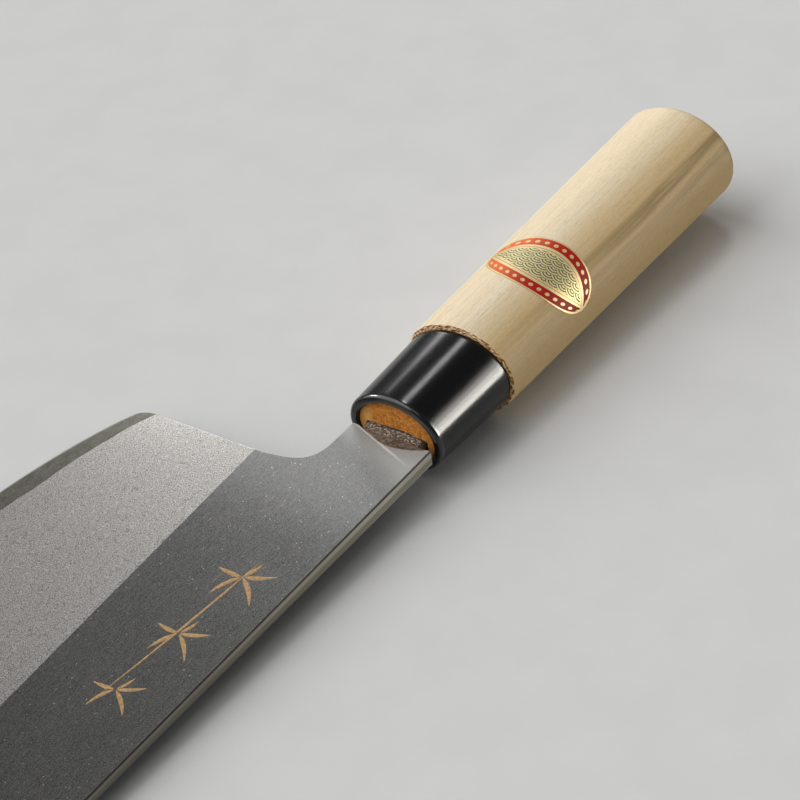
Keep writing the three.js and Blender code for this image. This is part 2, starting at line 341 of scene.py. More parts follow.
# %% [markdown]
# ## Heights of the two faces
#
# The flat is level and the bevel falls from the ridge to the edge. The back is ground slightly hollow, which
# keeps it easy to sharpen and lets food fall away. Next to the ferrule the forged skin was left on: there
# the surface sinks a quarter of a millimetre and is rough. A formula for each keeps all this measurable.

# %% Face heights
HOLLOW = Sizes(depth=0.45, rim=2.4, heel=5.0, toe=7.0, toe_drop=19.0, power=8)
SCALE = Sizes(reach=4.7, bend=0.033, middle=0.5, sink=0.24, grain=0.16)


def rough(points, size):
    """Smooth random heights between about -1 and 1, with bumps of this size in millimetres."""
    return np.array([noise.noise(Vector(p) / size) for p in np.asarray(points, float)])


def ease_in(value, low, high):
    """A smooth step from 0 to 1 between low and high."""
    share = np.clip((np.asarray(value, float) - low) / (high - low), 0, 1)
    return share * share * (3 - 2 * share)


def scale_reach(x, y):
    """How far a point lies inside the forged skin at the neck, in millimetres."""
    return SCALE.reach - SCALE.bend * (y - SCALE.middle) ** 2 - x


def top_height(x, y):
    fall = np.clip((ridge_side(x) - y) / (ridge_side(x) - edge_side(x)), 0, 1)
    return FLAT_HEIGHT - fall * (1 - EDGE.land) * thickness(x)


def back_height(x, y):
    begin, end = BLADE.heel + HOLLOW.heel, BLADE.toe - HOLLOW.toe
    along = np.clip((2 * x - begin - end) / (end - begin), -1, 1)
    low = edge_side(np.maximum(x, begin)) + HOLLOW.rim
    high = BLADE.spine - HOLLOW.rim - HOLLOW.toe_drop * np.maximum(0, along) ** HOLLOW.power
    across = np.clip((2 * y - low - high) / (high - low), -1, 1)
    hollow = HOLLOW.depth * (1 - along ** HOLLOW.power) * (1 - across**2) ** 2
    return FLAT_HEIGHT - thickness(x) + hollow


def forged_neck(x, y):
    """How far the forged skin at the neck lies below the flat."""
    inside = ease_in(scale_reach(x, y), -0.15, 0.7)
    spots = rows(x, y, 0)
    coarse, fine = rough(spots, 0.9), rough(spots + 7.3, 0.45)
    return inside * (SCALE.sink + SCALE.grain * (coarse * 0.6 + fine * 0.4))


belly_land = EDGE.land * thickness(EDGE.middle)
print(f"hollow {HOLLOW.depth} mm deep, edge {belly_land:.2f} mm wide at the belly")

# %% [markdown]
# ## Closing the blade
#
# Both faces use the same plan grid, one at the upper height and one at the lower. The rim between them turns
# over in a few steps of a quarter round. A Bevel modifier could do that, but it would also soften the cutting
# edge, while here each side of the outline has its own easing and the edge has none.

# %% Number the plan points
flat_ids = np.arange(flat_patch[..., 0].size).reshape(flat_patch.shape[:2])
bevel_ids = np.full(bevel_patch.shape[:2], -1)
bevel_ids[:, -1] = flat_ids[COUNTS.swept - 1:, 0]
bevel_ids[:, :-1] = flat_ids.size + np.arange(bevel_ids[:, :-1].size).reshape(bevel_ids[:, :-1].shape)
plan = np.vstack([flat_patch.reshape(-1, 2), bevel_patch[:, :-1].reshape(-1, 2)])
quads = np.vstack([
    np.stack([ids[:-1, :-1], ids[1:, :-1], ids[1:, 1:], ids[:-1, 1:]], axis=-1).reshape(-1, 4)
    for ids in (flat_ids, bevel_ids)
])
rim = np.concatenate([
    bevel_ids[:-1, 0], bevel_ids[-1, :-1], flat_ids[-1, :-1], flat_ids[:0:-1, -1], flat_ids[0, :0:-1],
    flat_ids[:COUNTS.swept - 1, 0], bevel_ids[0, :0:-1],
])
print("plan has", len(plan), "points and", len(quads), "quads; rim", len(rim))

# %% Turn the rim over
ROUND_STEPS = 5
ROUND_SHARE = 0.4

px, py = plan.T
upper = top_height(px, py) - forged_neck(px, py)
lower = back_height(px, py)
rim_top, rim_back = upper[rim], lower[rim]
turn_over = np.minimum(ease, ROUND_SHARE * (rim_top - rim_back))
angles = np.linspace(0, math.pi / 2, ROUND_STEPS + 1)[1:]
wall = [(a, rim_top - turn_over * (1 - math.cos(a))) for a in angles]
wall += [(a, rim_back + turn_over * (1 - math.cos(a))) for a in angles[::-1]]
rings = [np.column_stack([drawn_in + outward * (ease * math.sin(a))[:, None], height]) for a, height in wall]
points = np.vstack([np.column_stack([plan, upper]), np.column_stack([plan, lower]), *rings])
count, total = len(rim), len(plan)
loops = [rim, *(2 * total + count * n + np.arange(count) for n in range(len(rings))), rim + total]
faces = quads.tolist() + (quads[:, ::-1] + total).tolist()
for above, below in zip(loops, loops[1:]):
    ahead = np.roll(above, -1), np.roll(below, -1)
    faces += rows(above, below, ahead[1], ahead[0]).tolist()
blade_mesh = clean_mesh("ground_blade", points, faces)
print("ground blade:", len(blade_mesh.polygons), "faces")

# %% [markdown]
# ## Tang and weld
#
# The tang is a tapering bar that is rammed into the handle. The cutting steel is a thin layer that was
# welded to the iron at the forge, and where the bevel cuts through it the weld shows as a slightly wavy line.
# Booleans suit both jobs: the tang is added to the blade, and one wavy cutter parts iron from steel.

# %% Tang bar
TANG = Sizes(root=2.4, end=-78.0, squareness=7, points=72, blunt=0.55, ripple=0.09)
TANG_TAPER = {"half_width": (7.85, 3.5), "half_thick": (1.72, 1.1), "offset": (-0.65, 0.0)}
TANG_MIDDLE = FLAT_HEIGHT - NECK_THICK / 2 - 0.02
TANG_STATIONS = (TANG.root, 1.0, 0.2, -0.6, -1.4, -2.5, -8, -20, -40, -60, -76, -77.4, TANG.end)


def slab_ring(x, half_width, half_thick, offset, count):
    """An oblong ring with rounded corners round the tang's middle, square to x."""
    around = np.linspace(0, 2 * math.pi, count, endpoint=False)
    s, c = np.sin(around), np.cos(around)
    y = offset + half_width * np.sign(s) * np.abs(s) ** (2 / TANG.squareness)
    z = TANG_MIDDLE + half_thick * np.sign(c) * np.abs(c) ** (2 / TANG.squareness)
    return rows(x, y, z)


def tang_size(x):
    """Half width, half thickness and sideways offset of the tang."""
    share = np.clip((BLADE.neck - x) / (BLADE.neck - TANG.end), 0, 1)
    return [between(*ends, share) for ends in TANG_TAPER.values()]


tang_rings = []
for x in TANG_STATIONS:
    wide, thick, offset = tang_size(x)
    blunt = TANG.blunt if x == TANG.end else 1.0
    ring = slab_ring(x, wide * blunt, thick * blunt, offset, TANG.points)
    if TANG.end < x < TANG.root:
        ring[:, 2] += TANG.ripple * rough(ring, 1.6)
    tang_rings.append(ring)
tang_mesh = clean_mesh("tang", *skin(tang_rings))
print("tang:", len(tang_mesh.polygons), "faces")

# %% Weld cutter
WELD = Sizes(share=0.133, growth=0.0032, top=5.0, gap=0.012, margin=3.0)
WELD_RUN = (BLADE.heel - 3.5, BLADE.toe + 4, 0.9)
WAVES = [(0.0018, 17, 46), (0.002, 29, 14), (0.0025, 61, 30)]
RIPPLES = [(0.0042, 4.4, 3.1), (0.0022, 1.7, 9.7)]


def weld_share(x):
    """How much of the blade's thickness is steel at the edge."""
    waves = sum(size * math.sin(2 * math.pi * (x - begin) / length) for size, length, begin in WAVES)
    fine = sum(size * noise.noise((x / length, row, 0)) for size, length, row in RIPPLES)
    return WELD.share + waves + fine


def steel_side(raised):
    """Everything on the steel side of the weld."""
    rings = []
    for x in np.arange(*WELD_RUN):
        edge, back = edge_side(x), FLAT_HEIGHT - thickness(x)
        low, high = edge - WELD.margin, WELD.top + raised
        shares = [weld_share(x) + WELD.growth * (y - edge) for y in (low, high)]
        at_low, at_high = [back + share * thickness(x) + raised for share in shares]
        under = back - WELD.margin
        rings.append(np.array([(x, low, at_low), (x, high, at_high), (x, high, under), (x, low, under)]))
    return clean_mesh("steel_side", *skin(rings))


belly_steel = weld_share(EDGE.middle) * thickness(EDGE.middle)
print(f"steel layer {belly_steel:.2f} mm thick at the belly's edge")

# %% Part the blade
def combine(body, tool, operation):
    """The mesh that is left when one mesh is joined with, cut by or kept inside another."""
    holders = [new_object(operation, mesh) for mesh in (body, tool)]
    step = holders[0].modifiers.new(operation, "BOOLEAN")
    step.operation, step.solver, step.object = operation, "MANIFOLD", holders[1]
    graph = bpy.context.evaluated_depsgraph_get()
    result = bpy.data.meshes.new_from_object(holders[0].evaluated_get(graph))
    for holder in holders:
        bpy.data.objects.remove(holder)
    return result


whole_blade = combine(blade_mesh, tang_mesh, "UNION")
iron_mesh = combine(whole_blade, steel_side(WELD.gap), "DIFFERENCE")
steel_mesh = combine(whole_blade, steel_side(0), "INTERSECT")
print("iron", len(iron_mesh.polygons), "faces, steel", len(steel_mesh.polygons), "faces")

# %% [markdown]
# ## Keeping the ridge crisp
#
# The ridge turns by less than five degrees, far below the angle at which edges are usually kept sharp, yet
# the photograph shows it as the clearest line on the blade. So edges between two nearly level faces are
# marked sharp at a much smaller angle, away from the rough neck.

# %% Ridge and pieces
RIDGE_ANGLE = math.radians(0.8)
PAST_NECK = 9.0
NEARLY_LEVEL = 0.97


def crisp_ridge(mesh):
    work = bmesh.new()
    work.from_mesh(mesh)
    for edge in work.edges:
        if len(edge.link_faces) != 2 or min(v.co.x for v in edge.verts) < PAST_NECK:
            continue
        level = min(face.normal.z for face in edge.link_faces) > NEARLY_LEVEL
        if level and edge.calc_face_angle(0) > RIDGE_ANGLE:
            edge.smooth = False
    work.to_mesh(mesh)
    work.free()


blade_iron = lay(iron_mesh, "blade_iron", ["blade_iron_body"], crisp_ridge)
blade_steel = lay(steel_mesh, "blade_steel", ["blade_cutting_steel"], crisp_ridge)

# %% [markdown]
# ## Handle
#
# The handle is one stick of soft pale wood with an oval section that grows towards the butt. Its front end is
# turned down to a tenon inside the ferrule, and a slot was burnt into it for the tang. The slot's mouth is
# ragged and a little too wide, so a dark gap shows above the tang. One skin runs from the slot's bottom out
# through its mouth, over the tenon and the shoulder, along the handle and round the butt.

# %% Ovals
HANDLE = Sizes(front=(29.0, 24.2), butt=(32.2, 26.8), round=3.3, shoulder=-26.95, points=256)
FERRULE = Sizes(front=(25.7, 20.2), rear=(27.5, 21.9), wall=2.2, length=26.6)
around = np.linspace(0, 2 * math.pi, HANDLE.points, endpoint=False)


def oval(x, wide, high, inset=0.0):
    """An oval ring square to x, drawn in by inset."""
    y, z = (wide / 2 - inset) * np.sin(around), (high / 2 - inset) * np.cos(around)
    return rows(x, y, z)


def handle_size(x):
    share = (HANDLE.shoulder - x) / (HANDLE_LENGTH + HANDLE.shoulder)
    return [between(a, b, share) for a, b in zip(HANDLE.front, HANDLE.butt)]


def ferrule_size(x):
    return [between(a, b, -x / FERRULE.length) for a, b in zip(FERRULE.front, FERRULE.rear)]


print("handle", handle_size(HANDLE.shoulder), "to", handle_size(-HANDLE_LENGTH), "mm")

# %% Slot for the tang
SLOT_SPARE = 0.3
HUMP = Sizes(middle=1.2, half=4.2, rise=0.5)
SPINE_END = Sizes(start=5.6, full=7.4, push=0.9)


def slot_ring(x, spare, ragged=0.0):
    """A ring round the tang, with a wider gap over its middle and at its spine side where it is ragged."""
    wide, thick, offset = tang_size(x)
    ring = slab_ring(x, wide + spare, thick + spare, offset, HANDLE.points)
    over = np.exp(-(((ring[:, 1] - HUMP.middle) / HUMP.half) ** 2)) * (ring[:, 2] > TANG_MIDDLE)
    spine_end = ease_in(ring[:, 1], SPINE_END.start, SPINE_END.full)
    ring[:, 2] += ragged * (HUMP.rise * over + 0.3 * rough(ring, 1.3) * (0.3 + over))
    ring[:, 1] += ragged * spine_end * (SPINE_END.push + 0.4 * rough(ring, 0.9))
    return ring


handle_rings = [slot_ring(x, SLOT_SPARE) for x in (-80.2, -60, -40, -20, -8)]
for x, spare, ragged in ((-3.2, SLOT_SPARE, 0.35), (-1.9, SLOT_SPARE, 0.8), (-1.2, 0.34, 1.0)):
    handle_rings.append(slot_ring(x, spare, ragged))
print("slot has", len(handle_rings), "rings")

# %% Tenon and shoulder
TENON = Sizes(face=-0.9, edge_gap=0.2, gap=0.06, face_rings=14)
SHOULDER = (
    (3.6, 0.0), (2.2, 0.0), (1.5, 0.0), (1.2, 0.0), (0.9, 0.0), (0.6, 0.0), (0.3, 0.01), (0.12, 0.06),
    (0.03, 0.15), (0.0, 0.3),
)
SEAM_SKEW = 0.04

mouth = slot_ring(TENON.face, 0.42, 1.08)
tenon_edge = oval(TENON.face, *ferrule_size(TENON.face), FERRULE.wall + TENON.edge_gap)
for share in np.linspace(0, 1, TENON.face_rings):
    ring = between(mouth, tenon_edge, share)
    ring[:, 0] += 0.07 * rough(ring, 0.8) + 0.05 * rough(ring + 5, 0.35)
    handle_rings.append(ring)
for x in (-1.15, -14, -25.9):
    handle_rings.append(oval(x, *ferrule_size(x), FERRULE.wall + TENON.gap))
for inset, back in SHOULDER:
    ring = oval(HANDLE.shoulder - back, *handle_size(HANDLE.shoulder - back), inset)
    torn = ease_in(-inset, -2.0, -1.3)
    chips = 0.3 * rough(ring, 1.5) + 0.3 * rough(ring + 3, 0.55)
    ring[:, 0] -= torn * np.abs(chips) + SEAM_SKEW * ring[:, 1]
    handle_rings.append(ring)
print("slot, tenon and shoulder have", len(handle_rings), "rings")

# %% Stick and butt
straight = np.linspace(HANDLE.shoulder - 1.8, -HANDLE_LENGTH + HANDLE.round, 70)
handle_rings += [oval(x, *handle_size(x)) for x in straight]
for a in np.linspace(0, math.pi / 2, 12)[1:]:
    x = straight[-1] - HANDLE.round * math.sin(a)
    handle_rings.append(oval(x, *handle_size(straight[-1]), HANDLE.round * (1 - math.cos(a))))
butt = handle_rings[-1]
for share in (0.85, 0.65, 0.45, 0.25, 0.08):
    handle_rings.append(butt * [1, share, share])
handle = lay(clean_mesh("handle", *skin(handle_rings)), "handle_wood", ["handle"])

# %% [markdown]
# ## Ferrule
#
# The ferrule is a moulded black sleeve that is pressed over the tenon. It tapers towards the blade, its front
# lip is rounded and so is the mouth inside. A revolved profile would be round, and this sleeve is oval, so it
# is another skin of ovals that joins up with its own start.

# %% Ferrule rings
LIP, MOUTH = 0.9, 0.5
REAR = -26.8
ferrule_rings = [oval(REAR, *ferrule_size(REAR), 0.25), oval(REAR + 0.07, *ferrule_size(REAR), 0.08)]
ferrule_rings += [oval(x, *ferrule_size(x)) for x in np.linspace(REAR + 0.25, -LIP, 22)]
for a in np.linspace(0, math.pi / 2, 10)[1:]:
    ferrule_rings.append(oval(-LIP + LIP * math.sin(a), *ferrule_size(-LIP), LIP * (1 - math.cos(a))))
for a in np.linspace(0, math.pi / 2, 8):
    inset = FERRULE.wall - MOUTH * (1 - math.sin(a))
    ferrule_rings.append(oval(-MOUTH * (1 - math.cos(a)), *ferrule_size(0), inset))
ferrule_rings += [oval(x, *ferrule_size(x), FERRULE.wall) for x in (-2, -8, -16, REAR)]
for ring in ferrule_rings:
    ring[:, 0] -= SEAM_SKEW * ring[:, 1] * ease_in(-ring[:, 0], 6.0, 26.0)
ferrule_mesh = clean_mesh("ferrule", *skin(ferrule_rings, True))
ferrule = lay(ferrule_mesh, "ferrule_sleeve", ["ferrule"])

# %% [markdown]
# ## Label
#
# A thin oval of printed foil is stuck round the handle, with its long side across the stick. It follows the
# handle's oval, so its points are found by walking round the section, and it gets a true thickness with a
# rounded rim so that its edge catches light.

# %% Label sheet
LABEL = Sizes(around=30.4, along=18.6, middle=-57.1, turn=math.radians(18), radius=14.03)
LABEL_RISE = (0.03, 0.17)


def on_handle(across, along, rise):
    """Points on the handle's skin at these places of the label, lifted by rise."""
    x = LABEL.middle + along
    angle = LABEL.turn + across / LABEL.radius
    wide, high = handle_size(x)
    y, z = wide / 2 * np.sin(angle), high / 2 * np.cos(angle)
    normal = rows(np.sin(angle) / wide, np.cos(angle) / high)
    normal /= np.linalg.norm(normal, axis=1)[:, None]
    return rows(x, y + normal[:, 0] * rise, z + normal[:, 1] * rise)


turn_round = np.linspace(0, 2 * math.pi, 160, endpoint=False)
spread = [(r, LABEL_RISE[0]) for r in np.linspace(0.06, 0.997, 14)]
spread += [(1.0, sum(LABEL_RISE) / 2)] + [(r, LABEL_RISE[1]) for r in np.linspace(0.996, 0.06, 22)]
label_rings = []
for r, rise in spread:
    across = r * LABEL.around / 2 * np.cos(turn_round)
    along = r * LABEL.along / 2 * np.sin(turn_round)
    label_rings.append(on_handle(across, along, rise))
label = lay(clean_mesh("label", *skin(label_rings)), "label_foil", ["foil_label"])

# %% [markdown]
# ## Gilt sprig
#
# The flat of the blade carries a small gilt ornament. A row of bamboo leaves on a thin stem suits a kitchen
# knife. Each leaf is a slim lens with a low crown, made by the same ring skin and sunk slightly into the
# flat, so it needs no painting by coordinates.

# %% Leaves and stem
SPRAYS = [(55.5, -1.2, 1.0), (76.0, -2.4, 0.92), (95.5, -3.6, 0.85)]
FAN = [
    (58, 9.5, 1.25, -14), (104, 7.6, 1.35, 12), (-34, 8.2, 1.2, 16), (-78, 6.4, 1.3, -10),
    (148, 5.6, 1.0, 14),
]
LEAF_SWAY = 9
CROWN, SUNK = 0.035, 0.004
LEAF_SECTION = [(-1, 0), (-0.55, 0.8), (0, 1), (0.55, 0.8), (1, 0), (0, -0.6)]


def leaf(root, angle, length, width, bend=0.0, steps=16):
    """Rings of one leaf from its root to its tip."""
    rings = []
    for share in np.linspace(0, 1, steps):
        heading = math.radians(angle + bend * share)
        middle = np.array(root) + (0.3 + length * share) * np.array([math.cos(heading), math.sin(heading)])
        side = np.array([-math.sin(heading), math.cos(heading)])
        half = width / 2 * math.sin(math.pi * share**0.75) ** 0.9 + 0.004
        ragged = 1 + 0.22 * noise.noise((middle[0] * 2.2, middle[1] * 2.2, 1.7))
        crown = CROWN * min(1, half / 0.2)
        spots = [(middle + side * half * ragged * place, crown * rise) for place, rise in LEAF_SECTION]
        rings.append(np.array([(*spot, FLAT_HEIGHT - SUNK + rise) for spot, rise in spots]))
    return rings


leaves = [leaf((49.0, -0.6), -4.0, 54.0, 0.62, -2.0, 60)]
for x, y, size in SPRAYS:
    for angle, length, width, bend in FAN:
        lean = LEAF_SWAY * noise.noise((x, angle, 0.5))
        leaves.append(leaf((x, y), angle + lean, length * size, width * size, bend))
points, faces = np.zeros((0, 3)), []
for rings in leaves:
    leaf_points, leaf_faces = skin(rings)
    faces += [tuple(len(points) + k for k in face) for face in leaf_faces]
    points = np.vstack([points, leaf_points])
sprig = lay(clean_mesh("sprig", points, faces), "gilt_sprig")

# %% [markdown]
# ## Writing finishes as sums
#
# A finish is a node tree, and trees of Math nodes are hard to read as code. A small class wraps a socket and
# overloads the arithmetic signs, so that a sum on wires adds its own nodes. One method makes every other
# node, settings first and then sockets. Colours are written as they are seen and turned linear at the socket.

# %% Wire class
def linear(level):
    """One part of a colour as it is seen, 0 to 255, turned into light."""
    share = level / 255
    return share / 12.92 if share <= 0.04045 else ((share + 0.055) / 1.055) ** 2.4


def find_socket(sockets, name):
    """The socket with this name or number among those that a node shows."""
    shown = [socket for socket in sockets if socket.enabled]
    return shown[name] if isinstance(name, int) else next(s for s in shown if s.name == name)


def both_ways(operation):
    """Two methods for one sign: with the wire on its left, and with the wire on its right."""
    def wire_first(self, other):
        return self.sum(operation, self, other)

    def wire_last(self, other):
        return self.sum(operation, other, self)

    return wire_first, wire_last


class Wire:
    """A socket in a finish that can be used in sums like a number."""

    __add__, __radd__ = both_ways("ADD")
    __sub__, __rsub__ = both_ways("SUBTRACT")
    __mul__, __rmul__ = both_ways("MULTIPLY")
    __truediv__, __rtruediv__ = both_ways("DIVIDE")
    __pow__, __rpow__ = both_ways("POWER")

    def __init__(self, tree, socket=None):
        self.tree, self.socket = tree, socket

    def __abs__(self):
        return self.sum("ABSOLUTE", self)

    def node(self, kind, settings=(), sockets=(), out=0):
        """Add a node: its settings, then the values or links of its sockets. Gives one of its outputs."""
        made = self.tree.nodes.new("ShaderNode" + kind)
        for name, value in dict(settings).items():
            setattr(made, name, value)
        for name, value in dict(sockets).items():
            self.plug(find_socket(made.inputs, name), value)
        return Wire(self.tree, find_socket(made.outputs, out))

    def plug(self, entry, value):
        """Link a wire to a socket, or set the socket to a value."""
        if isinstance(value, Wire):
            self.tree.links.new(value.socket, entry)
        elif entry.type == "RGBA":
            entry.default_value = (*map(linear, value), 1)
        else:
            entry.default_value = value

    def sum(self, operation, *terms):
        return self.node("Math", {"operation": operation}, enumerate(terms))

    def ramp(self, low, high):
        """A smooth step from 0 to 1 between low and high."""
        limits = {"Value": self, "From Min": low, "From Max": high}
        return self.node("MapRange", {"interpolation_type": "SMOOTHSTEP"}, limits)


print(f"middle grey, seen as 128, is {linear(128):.3f} as light")

# %% Finishes and places
def new_finish(name):
    """An empty finish: a wire to add nodes with, and a call that ends it in a shader on a piece."""
    material = bpy.data.materials.new(name)
    material.use_nodes = True
    material.node_tree.nodes.clear()
    wire = Wire(material.node_tree)

    def put_on(piece, sockets):
        shader = wire.node("BsdfPrincipled", (), sockets)
        end = material.node_tree.nodes.new("ShaderNodeOutputMaterial")
        material.node_tree.links.new(shader.socket, end.inputs["Surface"])
        piece.data.materials.clear()
        piece.data.materials.append(material)
        print("finish", name, "has", len(material.node_tree.nodes), "nodes")

    return wire, put_on


def along_axis(wire, vector, axis):
    """How far a vector reaches along an axis."""
    return wire.node("VectorMath", {"operation": "DOT_PRODUCT"}, {0: vector, 1: axis}, "Value")


def knife_place(wire):
    """Wires for x, y and z on the knife's own axes, in millimetres."""
    place = wire.node("TexCoord", out="Object")
    away = wire.node("VectorMath", {"operation": "SUBTRACT"}, {0: place, 1: front})
    return [along_axis(wire, away, axis / MM) for axis in (to_toe, to_spine, off_flat)]


def facing(wire, axis):
    """How much the surface faces along an axis of the knife, from -1 to 1."""
    return along_axis(wire, wire.node("NewGeometry", out="Normal"), axis)


print("finishes measure places from", [round(c, 3) for c in front])

# %% Grain, colours and relief
def grain(place, stretch, detail=2.0, harshness=0.5, shift=0.0):
    """Noise between 0 and 1 over a place in millimetres, with a frequency per millimetre for each axis."""
    wire = place[0]
    parts = {k: part * scale + shift for k, (part, scale) in enumerate(zip(place, stretch))}
    spot = wire.node("CombineXYZ", (), parts)
    return wire.node("TexNoise", (), {"Vector": spot, "Scale": 1.0, "Detail": detail, "Roughness": harshness})


def blend(factor, first, second):
    """A colour between two colours."""
    return factor.node("Mix", {"data_type": "RGBA"}, {"Factor": factor, "A": first, "B": second})


def paint(colour, *coats):
    """A colour with coats laid over it in turn, each with its share and its own colour."""
    for share, coat in coats:
        colour = blend(share, colour, coat)
    return colour


def bump(height, strength, distance):
    return height.node("Bump", (), {"Strength": strength, "Distance": distance, "Height": height})


print("grain, blend, paint and bump are ready")

# %% [markdown]
# ## Blade iron
#
# The bevel was finished on a wet stone and is matte with a fine even grain. The flat was polished lengthwise,
# so it is darker and satin, with fine scratches and a few bright specks, and it is paler where the neck was
# filed. Near the neck the flat is duller and less metallic, and its colour is lifted a little as painted
# light against the shade there. The spine keeps a brownish stripe between its eased edges, with a painted
# shade line along its upper edge and painted shade that darkens it towards the toe. A bright painted
# highlight marks a facet at the neck, and the forged skin there is brown and rough. All of these are one
# metal, so one finish holds them and masks on the knife's axes part them.

# %% Masks on the iron
RIDGE_BLUR = 0.02

iron, finish_iron = new_finish("blade_iron")
place = x, y, z = knife_place(iron)
up, toward = facing(iron, off_flat), facing(iron, to_spine)
on_bevel = (y - ridge_side(x)).ramp(RIDGE_BLUR, -RIDGE_BLUR) * up.ramp(0.2, 0.6)
on_spine = toward.ramp(0.55, 0.75)
# The spine's upper eased edge is painted nearly black: a painted shade line standing in for the dark the edge
# shows.
painted_edge_shade = toward.ramp(0.25, 0.45) * (FLAT_HEIGHT - z).ramp(0.52, 0.34)
ragged = grain(place, (1.1, 1.1, 0), 3.0) - 0.5
in_scale = (scale_reach(x, y) + 0.9 * ragged).ramp(-0.1, 0.35) * up.ramp(-0.2, 0.3)
ground = x.ramp(50, 6) * (1 - on_bevel)
filed = (x - 0.5 * y).ramp(14, 5) * (1 - on_bevel)
print("iron masks use", len(iron.tree.nodes), "nodes")

# %% Bevel and flat
fine = grain(place, (9, 9, 9), 1.0)
matte = grain(place, (4.4, 4.4, 4.4), 1.0, 0.6).ramp(0.28, 0.72)
drift = grain(place, (0.03, 0.05, 0.05), 2.0)
brushed = grain(place, (0.35, 7.0, 7.0), 2.0, 0.6)
speck_place = iron.node("CombineXYZ", (), {0: x * 0.6, 1: y * 1.1})
cells = iron.node("TexVoronoi", {"feature": "F1"}, {"Vector": speck_place, "Scale": 1.0})
specks = cells.ramp(0.15, 0.07) * grain(place, (0.6, 0.6, 0)).ramp(0.44, 0.6)
scratch = grain(place, (0.11, 3.1, 0), 1.0, shift=4.0).ramp(0.72, 0.78)
bevel_colour = blend(matte, (114, 112, 108), (208, 205, 201))
flat_colour = paint(
    (68, 68, 66),
    (0.3 * brushed.ramp(0.3, 0.7) + 0.7 * matte, (144, 144, 142)),
    # painted light: near the neck the flat's colour is lifted against the shade there, on its duller ground
    # finish
    (0.3 * ground, (150, 150, 148)),
    (0.6 * filed, (200, 200, 195)),
    (scratch * 0.2 + specks * 0.9, (226, 224, 216)),
)
print("with bevel and flat:", len(iron.tree.nodes), "nodes")

# %% Spine and forged skin
STRIPE = Sizes(middle=FLAT_HEIGHT - NECK_THICK / 2 - 0.6, climb=0.0051)

drawn = grain(place, (0.04, 0.0, 3.0), 2.0, 0.6)
spine_stripe = abs(z - STRIPE.middle - STRIPE.climb * x).ramp(1.1, 0.6)
spine_colour = paint(
    (182, 178, 163),
    (spine_stripe * 0.85, (128, 122, 106)),
    (drawn.ramp(0.45, 0.7) * 0.4, (128, 122, 108)),
    # painted shade: the spine darkens towards the toe
    (x.ramp(10, 110) * 0.7, (92, 90, 82)),
)
rust = grain(place, (0.8, 0.5, 0.8), 4.0, 0.7)
flakes = grain(place, (2.6, 1.3, 2.6), 2.0, 0.6, 11.0)
bright_rub = flakes.ramp(0.5, 0.62) * (0.25 + 0.75 * x.ramp(1.9, 0.4))
scale_colour = paint(
    (66, 50, 39),
    (rust.ramp(0.35, 0.65), (110, 89, 71)),
    (bright_rub * 0.8, (206, 200, 190)),
)
print("with spine and neck:", len(iron.tree.nodes), "nodes")

# %% Iron together
FACET_START, FACET_ACROSS = (1.47, -10.1), (0.942, -0.334)

# A bright line of painted highlight along a facet by the neck; the blade's faces have no such facet.
from_facet = FACET_ACROSS[0] * (x - FACET_START[0]) + FACET_ACROSS[1] * (y - FACET_START[1])
facet_highlight = abs(from_facet).ramp(0.5, 0.1) * y.ramp(11.0, 1.0) * up.ramp(0.4, 0.8)
iron_colour = paint(
    flat_colour,
    (on_bevel, bevel_colour),
    (on_spine, spine_colour),
    (painted_edge_shade * 0.95, (20, 19, 17)),
    (in_scale, scale_colour),
    (facet_highlight * 0.75, (238, 237, 233)),
)
iron_rough = 0.26 + 0.05 * brushed + 0.04 * drift + 0.18 * x.ramp(45, 6) * (1 - on_bevel)
iron_rough = iron_rough + on_bevel * (0.03 + 0.06 * matte) + 0.3 * painted_edge_shade
iron_rough = iron_rough + in_scale * (0.32 - 0.2 * bright_rub)
relief = 0.2 * fine + 0.6 * matte * on_bevel + 0.15 * brushed * (1 - on_bevel) + 2.2 * flakes * in_scale
finish_iron(blade_iron, {
    "Base Color": iron_colour, "Roughness": iron_rough,
    "Metallic": (1 - 0.5 * ground) * (1 - 0.4 * filed) * (1 - 0.55 * in_scale),
    "Normal": bump(relief, 0.35, 0.00003),
})

# %% [markdown]
# ## Cutting steel
#
# The harder steel takes a darker, slightly greenish polish than the iron above it. Its colour varies a little
# along the weld, and the last fraction of a millimetre was honed and catches the light.

# %% Steel finish
steel, finish_steel = new_finish("blade_steel")
place = x, y, z = knife_place(steel)
bow = (1 - ((x - EDGE.middle) / EDGE.half) ** 2) ** 0.5
from_edge = y - (BLADE.spine - BLADE.depth + EDGE.rise) + EDGE.rise * bow
cloud = grain(place, (0.35, 0.6, 0.6), 4.0, 0.6)
fine = grain(place, (2.6, 2.6, 2.6), 2.0, 0.7)
honed = from_edge.ramp(0.55, 0.2) * facing(steel, off_flat).ramp(0.2, 0.6)
steel_colour = paint(
    (82, 81, 74),
    (cloud.ramp(0.3, 0.7), (102, 100, 92)),
    (fine.ramp(0.4, 0.7) * 0.4, (138, 136, 126)),
    (honed * 0.6, (196, 195, 188)),
)
finish_steel(blade_steel, {
    "Base Color": steel_colour, "Metallic": 1.0, "Roughness": 0.36 + 0.1 * cloud - 0.1 * honed,
    "Normal": bump(fine, 0.3, 0.00002),
})

# %% [markdown]
# ## Handle wood
#
# The wood is a light, even-grained timber: cream, with olive-brown streaks where the heartwood begins.
# Towards the spine's side it turns darker and warmer, partly as heartwood tone and partly as painted shade.
# Its grain runs straight along the stick, so the noise is stretched along x. The hot tang scorched the
# tenon's end amber, which is darkened towards the ferrule's wall as painted shadow, the slot is dark, and
# loose fibres at the shoulder are brown.

# %% Wood grain
WOOD_HALF, SHADED_SIDE = (15.5, 13.0), (0.985, 0.17)
STREAKS = [(48, 26, 11, 3, 1.0), (66, 20, 9, 2, 0.5)]

